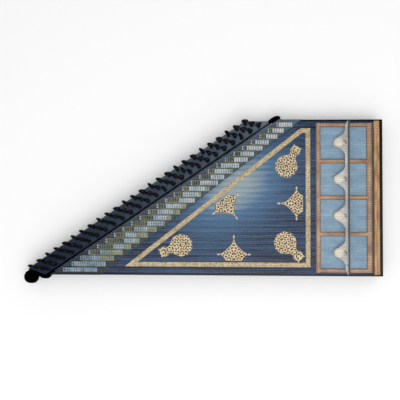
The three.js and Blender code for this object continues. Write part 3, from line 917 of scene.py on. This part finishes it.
# %% [markdown]
# ## The bridge's outline
#
# The bridge stands on four feet, one on each skin, and carries all the strings on a narrow ridge.
# Its deck is wide over each foot and scooped away between them, so it is light. The scoop is an
# S-shaped curve, met here by looking up x against y.

# %% Deck width

bridge_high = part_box("bridge")[1]
ridge_x, ridge_top = bridge_high.x, bridge_high.z
half_bridge = bridge_high.y
RIDGE_WIDTH = 4 * MM
SCALLOP_HALF = 34 * MM
END_TAPER = 12 * MM
window_y = (np.arange(WINDOWS) - (WINDOWS - 1) / 2) * WINDOW_PITCH


def deck_width(y):
    """Deck width at a place along the bridge.

    Between t = 0 at the scallop's end and t = 1 over the foot, the width is
    10 + 24 (3 t^2 - 2 t^3) mm at 34 (1 - t)^3 + 51 t (1 - t) mm from the foot. The last 12 mm
    taper to the ridge.
    """
    t = np.linspace(1, 0, 60)
    distance = SCALLOP_HALF * (1 - t) ** 3 + 1.5 * SCALLOP_HALF * t * (1 - t)
    width = (10 + 24 * (3 * t * t - 2 * t**3)) * MM
    nearest = np.abs(y[:, None] - window_y).min(1)
    wide = np.interp(nearest, distance, width)
    ends = np.clip((half_bridge - np.abs(y)) / END_TAPER, 0.0, 1.0)
    return RIDGE_WIDTH + 0.3 * MM + (wide - RIDGE_WIDTH - 0.3 * MM) * ends


# %% [markdown]
# ## The bridge's wood
#
# The maple is pale grey with fine fibres along Y. The ridge is painted black from its foot to its
# right edge, as a painted shadow along the bridge's right edge, and over each foot a small hook is
# burnt in: part of a ring, cut by a ramp.

# %% Maple

HOOK_INSET = 11.5 * MM
HOOK_RADIUS = 4.2 * MM
RIDGE_SHADOW_INSET = 4.2 * MM

finish = Finish("bridge_maple", roughness=0.45, Coat_Weight=0.15, Coat_Roughness=0.25)
cloud = finish.noise(16.0, 4.0, stretch=(3, 1, 1))
fibre = finish.noise(120.0, 2.0, stretch=(6, 1, 1))
colour = finish.mix(cloud.ramp(0.3, 0.7), srgb(176, 173, 168), srgb(220, 217, 211))
colour = finish.mix(fibre.ramp(0.45, 0.7) * 0.25, colour, srgb(118, 108, 98))
local = ((finish.y / WINDOW_PITCH).wrapped() - 0.5) * WINDOW_PITCH
beside = finish.x - (ridge_x - HOOK_INSET)
ring = (beside * beside + local * local).power(0.5).near(HOOK_RADIUS, 0.8 * MM, 1.3 * MM)
hook = ring * (beside + local * 0.5).ramp(-1 * MM, 0.0)
# painted shadow: the whole ridge, from its foot to its right edge, is black
line = (finish.x - (ridge_x - RIDGE_SHADOW_INSET)).ramp(0.0, 0.3 * MM)
colour = finish.mix(hook.largest(line) * 0.9, colour, srgb(22, 20, 22))
bridge_maple = finish.cover(colour, 0.4 + fibre * 0.15, fibre)

# %% [markdown]
# ## The bridge's body
#
# The ridge is planed first and the deck scooped after, so one section runs the whole length and
# only its left edge moves. It is a ring of eleven points that starts at the sole.

# %% Bridge body

deck_top = ridge_top - 6.2 * MM
deck_bottom = deck_top - 3.5 * MM
DECK_ROUNDING = 0.8 * MM


def bridge_points():
    """The section at 241 places along Y; the slope is at most 9 mm wide."""
    y = np.linspace(-half_bridge, half_bridge, 241)
    left = ridge_x - deck_width(y)
    ridge_foot = ridge_x - RIDGE_WIDTH
    slope = np.minimum(ridge_foot - left, 9 * MM)
    right = [ridge_foot, ridge_foot + 0.9 * MM, ridge_x - 0.5 * MM, ridge_x, ridge_x]
    x = [left + DECK_ROUNDING, left, left, left + DECK_ROUNDING]
    x += [ridge_foot - slope * 0.6, ridge_foot - slope * 0.2]
    x = np.stack(x + [np.full_like(y, place) for place in right], 1)
    height = np.array([
        deck_bottom, deck_bottom + DECK_ROUNDING, deck_top - DECK_ROUNDING, deck_top,
        deck_top + 0.2 * MM, deck_top + 1.2 * MM, ridge_top - 1.2 * MM, ridge_top, ridge_top,
        ridge_top - 0.5 * MM, deck_bottom,
    ])
    z = np.repeat(height[None, :], len(y), 0)
    return np.stack([x, np.repeat(y[:, None], x.shape[1], 1), z], -1)


section = bridge_points()
section_part = (section, tube_faces(*section.shape[:2]))
bridge_body = make_piece(
    "bridge_body", [section_part], bridge_maple, smooth=False
)
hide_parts("bridge")

# %% [markdown]
# ## The bridge's feet
#
# Each foot is turned: a wide sole that spreads the load on the skin, a waist, and a head.

# %% Feet

FOOT_INSET = 26 * MM
FOOT_SIDES = 32
foot_profile = np.array([
    [0, 43.9], [11.6, 43.9], [12.0, 44.4], [11.2, 46.5], [10.0, 50.0], [10.4, 53.5],
    [11.0, 54.0], [11.8, 54.4], [11.8, 57.6], [11.3, 58.2], [4.0, 58.5], [0, 58.5],
]) * MM


def lathe(profile, place):
    """A profile of (radius, height) turned about an upright axis."""
    turn = np.linspace(0, 2 * np.pi, FOOT_SIDES, endpoint=False)
    x = place[0] + profile[:, :1] * np.cos(turn)
    y = place[1] + profile[:, :1] * np.sin(turn)
    z = np.repeat(profile[:, 1:], FOOT_SIDES, 1)
    return np.stack([x, y, z], -1), [grid_faces(len(profile), FOOT_SIDES, close_columns=True)]


def foot_wood():
    finish = Finish("foot_maple", roughness=0.4, Coat_Weight=0.2, Coat_Roughness=0.2)
    cloud = finish.noise(60.0, 3.0)
    colour = finish.mix(cloud, srgb(222, 208, 186), srgb(244, 236, 220))
    return finish.cover(colour, 0.35 + cloud * 0.15)


feet = [lathe(foot_profile, (ridge_x - FOOT_INSET, y)) for y in window_y]
bridge_feet = make_piece("bridge_feet", feet, foot_wood())
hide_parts("bridge")

# %% [markdown]
# ## Rosette outlines
#
# The six sound holes are covered by carved rosettes. A corner one has two lobes and a waist; an
# edge one has a flat side, two side tips and a spire. Both are the same on either side of their
# axis, so an outline is one half width for each place along it.

# %% Outlines

LARGE_LOBE, SMALL_LOBE, LOBE_SPREAD = 29.0, 13.0, 46.0


def corner_half_width(x):
    """The widest of two circles and a waist between them, in mm."""
    large = np.sqrt(np.clip(LARGE_LOBE**2 - x**2, 0, None))
    small = np.sqrt(np.clip(SMALL_LOBE**2 - (x - LOBE_SPREAD) ** 2, 0, None))
    waist = np.interp(x, [22, 27, 31, 36], [0, 11, 9.5, 8.5], left=0, right=0)
    return np.maximum(np.maximum(large, small), waist)


def edge_half_width(x):
    """Straight runs between the corners of the edge shape, in mm."""
    along = [-17, -12, -6, -1.5, 0, 1.5, 7, 14, 20, 26, 33, 41]
    half = [20, 22.5, 26.5, 33, 35, 33, 25, 17, 11, 5.5, 2.4, 0]
    return np.interp(x, along, half)


corner_span = (-LARGE_LOBE, LOBE_SPREAD + SMALL_LOBE)
edge_span = (-17, 41)

# %% [markdown]
# ## Plate and rim
#
# A carver saws the outline first, and leaves a raised rim round a thin field. The field is a flat
# plate whose columns spread with the half width. The rim is a small moulding, carried round the
# outline.

# %% Plate and rim


def two_sided(top, bottom_z):
    """A top surface and its flat underside as the rings of one tube."""
    bottom = top[:, ::-1].copy()
    bottom[..., 2] = bottom_z
    return np.concatenate([top, bottom], 1)


def lattice_plate(low, high, half_width, steps=90, columns=15):
    """A thin plate: x along the axis, y = v h(x) with v from -1 to 1, 1.2 mm thick."""
    x = np.linspace(low, high, steps)
    v = np.linspace(-1, 1, columns)
    h = half_width(x) + 0.05
    along = np.repeat(x[:, None], columns, 1)
    return two_sided(np.stack([along, h[:, None] * v, np.zeros((steps, columns))], -1), -1.2)


def rim_path(low, high, half_width, steps=110):
    """The outline as one closed path, round the axis and back."""
    bend = (1 - np.cos(np.linspace(0, np.pi, steps))) / 2
    x = low + (high - low) * bend
    h = half_width(x)
    there = np.stack([x, -h, np.zeros(steps)], 1)
    again = np.stack([x[::-1], h[::-1], np.zeros(steps)], 1)
    path = np.concatenate([there, again[1:-1]])
    keep = np.linalg.norm(path - np.roll(path, 1, 0), axis=1) > 0.05
    return path[keep]


def carried(path, across, up):
    """A ring at each point of a closed path: point + across times the side direction + up in Z."""
    ahead = np.roll(path, -1, 0) - np.roll(path, 1, 0)
    ahead[:, 2] = 0
    ahead /= np.linalg.norm(ahead, axis=1)[:, None] + 1e-12
    side = np.stack([-ahead[:, 1], ahead[:, 0], np.zeros(len(path))], 1)
    ring = path[:, None, :] + side[:, None, :] * across[None, :, None]
    ring[:, :, 2] += up
    return ring, [grid_faces(*ring.shape[:2], close_rows=True, close_columns=True)]


# %% [markdown]
# ## Gilding
#
# The field is pierced with a drill and a fret saw into a wavy net. Transparency cuts it here, as
# real holes would take too many faces. The net follows the rosette's own coordinates, u along its
# axis and v beside it, folded at the axis.

# %% Gilt finishes


def gilt_lattice():
    """Opaque where |sin(0.44 a) sin(0.44 b)| is small; a and b are u and v, bent by sines."""
    finish = Finish("gilt_lattice", roughness=0.4, metallic=0.1, Coat_Weight=0.1)
    u, v, _ = finish.split(finish.node("ShaderNodeUVMap", {"uv_map": "own"}))
    u, v = u * 100.0, (v * 100.0).absolute()
    bent_u = u + (v * 0.4).sine() * 2.4
    bent_v = v + (u * 0.35).sine() * 2.4
    net = (bent_u * 0.44).sine() * (bent_v * 0.44).sine()
    fine = (bent_u * 1.1 + 1.0).sine() * (bent_v * 1.1).sine()
    height = net.absolute() * 0.85 + fine * 0.15
    tone = finish.noise(90.0, 3.0)
    colour = finish.mix(tone.ramp(0.3, 0.7), srgb(222, 186, 128), srgb(252, 234, 194))
    finish.feed("Base Color", colour)
    finish.feed("Roughness", 0.35 + tone * 0.2)
    finish.feed("Alpha", 1 - height.ramp(0.36, 0.42))
    return finish.material


def gilt_rim():
    finish = Finish("gilt_rim", roughness=0.35, metallic=0.1, Coat_Weight=0.15)
    tone = finish.noise(120.0, 3.0)
    colour = finish.mix(tone, srgb(206, 174, 120), srgb(250, 234, 196))
    return finish.cover(colour, 0.3 + tone * 0.2, tone, 0.1 * MM)


lattice_finish, rim_finish = gilt_lattice(), gilt_rim()

# %% [markdown]
# ## Six rosettes
#
# Each rosette is drawn in millimetres about its own middle, then turned and laid in its opening, so
# far in from the purfling's tail end and so far from the front side. The plate stores its own
# coordinates as UVs, for the net.

# %% Carving the six rosettes

purfling_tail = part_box("purfling")[1].x
rosette_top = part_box("rosette_tail_edge")[1].z
rosette_places = {
    "rosette_rear_corner": (61, 280, 0.333, True),
    "rosette_tail_edge": (35, 185, 1.0, False),
    "rosette_slant_edge": (216, 183, -0.288, False),
    "rosette_front_left_corner": (330, 77, 1.117, True),
    "rosette_front_edge": (195, 54, 0.5, False),
    "rosette_tail_corner": (64, 84, -0.25, True),
}
rim_across = np.array([-0.2, -0.1, 0.9, 1.5, 1.6])
rim_up = np.array([-1.4, 0.1, 0.35, 0.1, -1.4])


def set_down(points, inset, margin, turn, height):
    """Turns a rosette drawn in mm about Z by turn times pi and lays it in its opening."""
    laid = turned(points, -inset, margin, turn * np.pi) * MM
    return laid + (purfling_tail, front, height)


for name, (inset, margin, turn, corner) in rosette_places.items():
    half_width = corner_half_width if corner else edge_half_width
    low, high = corner_span if corner else edge_span
    plate = lattice_plate(low, high, half_width)
    laid = set_down(plate, inset, margin, turn, rosette_top - 0.3 * MM)
    part = (laid, tube_faces(*plate.shape[:2]))
    piece = make_piece(name + "_lattice", [part], lattice_finish, smooth=False)
    layer = piece.data.uv_layers.new(name="own")
    corners = np.empty(len(piece.data.loops), np.int32)
    piece.data.loops.foreach_get("vertex_index", corners)
    layer.data.foreach_set("uv", (plate.reshape(-1, 3)[corners, :2] * 0.01).ravel())
    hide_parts(name)
    ring, ring_faces = carried(rim_path(low, high, half_width), rim_across, rim_up)
    laid_ring = set_down(ring, inset, margin, turn, rosette_top - 0.1 * MM)
    rim = make_piece(name + "_rim", [(laid_ring, ring_faces)], rim_finish)
    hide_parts(name)

# %% [markdown]
# ## Finials
#
# A small leaf grows out of each tip. Leaves are sawn from thin wood and glued on the lacquer, so
# they stand just proud of it. One is a domed plate, widest before its middle.

# %% Leaves

LEAF_STEPS, LEAF_COLUMNS = 13, 7


def leaf(reach, breadth):
    """A leaf from 0 to reach along x: half width b sin(pi s^0.8), domed by 0.4 (1 - v^2) mm."""
    s = np.linspace(0.02, 0.98, LEAF_STEPS)
    v = np.linspace(-1, 1, LEAF_COLUMNS)
    half = breadth * np.sin(np.pi * s**0.8)
    x = np.repeat(s[:, None] * reach, LEAF_COLUMNS, 1)
    dome = np.repeat(0.3 + 0.4 * (1 - v * v)[None, :], LEAF_STEPS, 0)
    return two_sided(np.stack([x, half[:, None] * v, dome], -1), 0.0)


leaf_faces = tube_faces(LEAF_STEPS, 2 * LEAF_COLUMNS)
small_leaf, long_leaf = leaf(4.8, 2.2), leaf(10.0, 2.4)
lobe_root = SMALL_LOBE - 0.6
lobe_roots = [
    (LOBE_SPREAD + lobe_root * np.cos(a), lobe_root * np.sin(a), a) for a in (-0.7, 0.7)
]
tip_roots = [(40.5, 0, 0.0), (0, 34.5, np.pi / 2), (0, -34.5, -np.pi / 2)]
leaf_height = board_top + 0.05 * MM
for name, (inset, margin, turn, corner) in rosette_places.items():
    shape, roots = (small_leaf, lobe_roots) if corner else (long_leaf, tip_roots)
    leaves = [set_down(turned(shape, *root), inset, margin, turn, leaf_height) for root in roots]
    parts = [(points, leaf_faces) for points in leaves]
    make_piece(name + "_leaves", parts, rim_finish)

# %% [markdown]
# ## Floor
#
# The instrument lies on a pale studio floor, wide enough to fill the view.

# %% Floor

FLOOR_HALF = 6
floor_mesh = bpy.data.meshes.new("floor")
square = ((-1, -1), (1, -1), (1, 1), (-1, 1))
floor_points = [(x * FLOOR_HALF, y * FLOOR_HALF, 0) for x, y in square]
floor_mesh.from_pydata(floor_points, [], [(0, 1, 2, 3)])
floor = bpy.data.objects.new("floor", floor_mesh)
bpy.context.scene.collection.objects.link(floor)
floor_finish = Finish("floor_paint", roughness=0.9)
floor_finish.shader.inputs["Base Color"].default_value = (0.98, 0.98, 0.98, 1.0)
floor_mesh.materials.append(floor_finish.material)
print("floor", 2 * FLOOR_HALF, "metres wide")

# %% [markdown]
# ## Room
#
# A tent of white cloth lights everything evenly, but polished lacquer would mirror it and turn
# milky, so a studio hangs dark cloths where the gloss looks. The room does the same: bright to the
# camera, less so as light, and dim to a glossy reflection.

# %% Room

ROOM_LEVELS = {"light": 0.74, "seen": 1.0, "mirrored": 0.12}
world = bpy.data.worlds.new("room")
bpy.context.scene.world = world
world.use_nodes = True
room = world.node_tree
rays = room.nodes.new("ShaderNodeLightPath")
walls = {}
for use, level in ROOM_LEVELS.items():
    walls[use] = room.nodes.new("ShaderNodeBackground")
    walls[use].inputs["Color"].default_value = (1.0, 1.0, 1.0, 1.0)
    walls[use].inputs["Strength"].default_value = level


def either(ray, otherwise, chosen):
    """One background for a kind of ray and another for all the other rays."""
    made = room.nodes.new("ShaderNodeMixShader")
    room.links.new(rays.outputs[ray], made.inputs[0])
    room.links.new(otherwise.outputs[0], made.inputs[1])
    room.links.new(chosen.outputs[0], made.inputs[2])
    return made


glossy = either("Is Glossy Ray", walls["light"], walls["mirrored"])
whole = either("Is Camera Ray", glossy, walls["seen"])
room.links.new(whole.outputs[0], room.nodes["World Output"].inputs["Surface"])
print("room levels", ROOM_LEVELS)

# %% [markdown]
# ## Lamp and camera
#
# One large soft lamp over the front side adds the sheen on the lacquer and a weak shadow. The
# camera stands over the instrument and looks almost straight down.

# %% Lamp and camera

LAMP_SIZE = 2.0
lamp_data = bpy.data.lights.new("soft_box", "AREA")
lamp_data.shape = "RECTANGLE"
lamp_data.size = LAMP_SIZE
lamp_data.size_y = LAMP_SIZE
lamp_data.energy = 24
lamp = bpy.data.objects.new("soft_box", lamp_data)
lamp.location = (0.3, -0.8, 2.3)
lamp.rotation_euler = (-lamp.location).to_track_quat("-Z", "Y").to_euler()
bpy.context.scene.collection.objects.link(lamp)

camera_data = bpy.data.cameras.new("camera")
camera_data.lens = 47.4
camera = bpy.data.objects.new("camera", camera_data)
camera.location = (0.009, -0.040, 1.4)
camera.rotation_euler = (0.0247, 0.0354, 0.0023)
bpy.context.scene.collection.objects.link(camera)
bpy.context.scene.camera = camera
bpy.context.scene.view_settings.view_transform = "Standard"
print("camera", camera.location.z, "metres above the floor")
